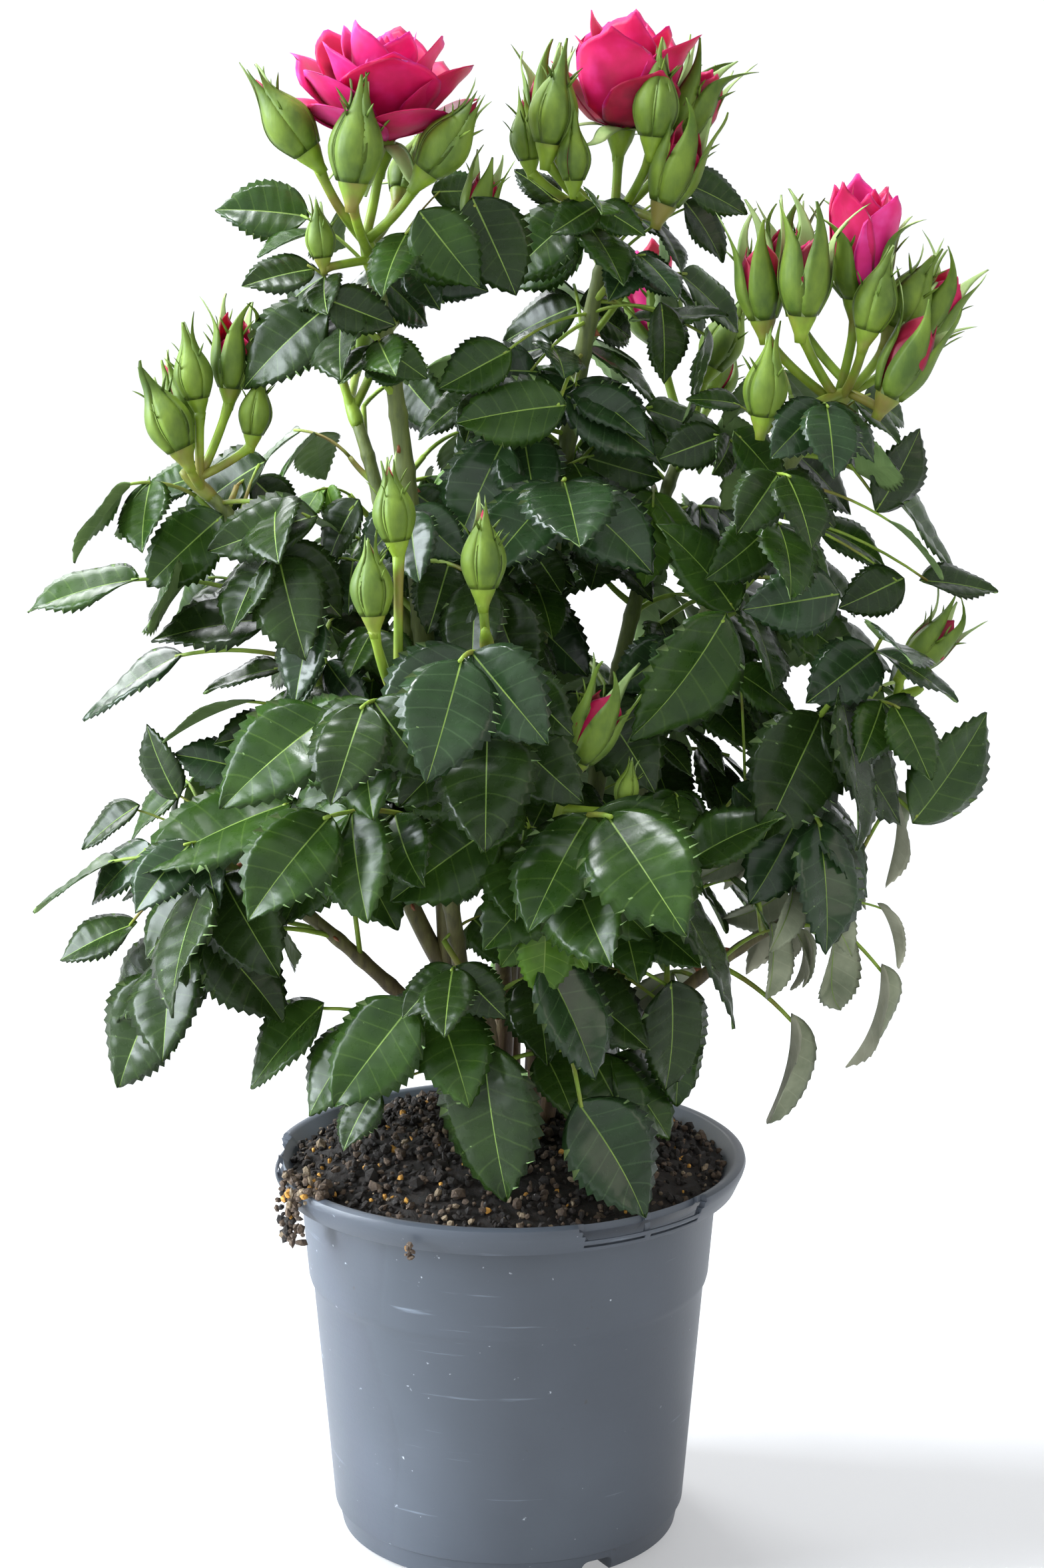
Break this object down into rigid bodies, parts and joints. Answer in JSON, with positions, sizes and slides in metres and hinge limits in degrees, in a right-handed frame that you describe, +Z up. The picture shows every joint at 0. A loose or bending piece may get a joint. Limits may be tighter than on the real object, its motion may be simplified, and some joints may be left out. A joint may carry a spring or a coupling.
{
  "type": "potted rose bush",
  "caption": "Patio rose bush in a round nursery pot, with glossy leaves, clusters of buds and open pink blooms at the tops of its canes.",
  "frame": {"origin": "centre of the flat underside of the pot", "axes": "+Z up, -Y towards the side seen from the front, +X to the right seen from the front"},
  "size_m": [0.2654, 0.195, 0.4079],
  "materials": {
    "pot_plastic": "satin blue-grey moulded plastic, lightly scuffed",
    "compost": "dark moist compost with tan crumbs",
    "bark": "brown bark low down, green skin higher up",
    "foliage": "glossy dark green leaves with lighter veins",
    "blossom": "velvety cerise petals on light green buds and stalks"
  },
  "bodies": {
    "root": {"pot": "pot_plastic", "compost": "compost", "cane_front_low": "bark", "cane_front": "bark", "cane_front_right": "bark", "cane_front_middle": "bark", "cane_left_low": "bark", "cane_right_low": "bark", "cane_right_side": "bark", "cane_left_side": "bark", "cane_left_tall": "bark", "cane_right_tall": "bark", "cane_middle_tall": "bark", "cane_back_low": "bark", "cane_back_left": "bark", "cane_back_right": "bark", "leaves_front_low": "foliage", "leaves_front": "foliage", "leaves_front_right": "foliage", "leaves_front_middle": "foliage", "leaves_left_low": "foliage", "leaves_right_low": "foliage", "leaves_right_side": "foliage", "leaves_left_side": "foliage", "leaves_left_tall": "foliage", "leaves_right_tall": "foliage", "leaves_middle_tall": "foliage", "leaves_back_low": "foliage", "leaves_back_left": "foliage", "leaves_back_right": "foliage", "truss_left_tall": "blossom", "truss_middle_tall": "blossom", "truss_right_tall": "blossom", "truss_left_side": "blossom", "truss_front": "blossom", "truss_front_middle": "blossom", "truss_front_right": "blossom", "truss_right_side": "blossom", "truss_back_left": "blossom", "truss_back_right": "blossom"}
  },
  "joints": []
}
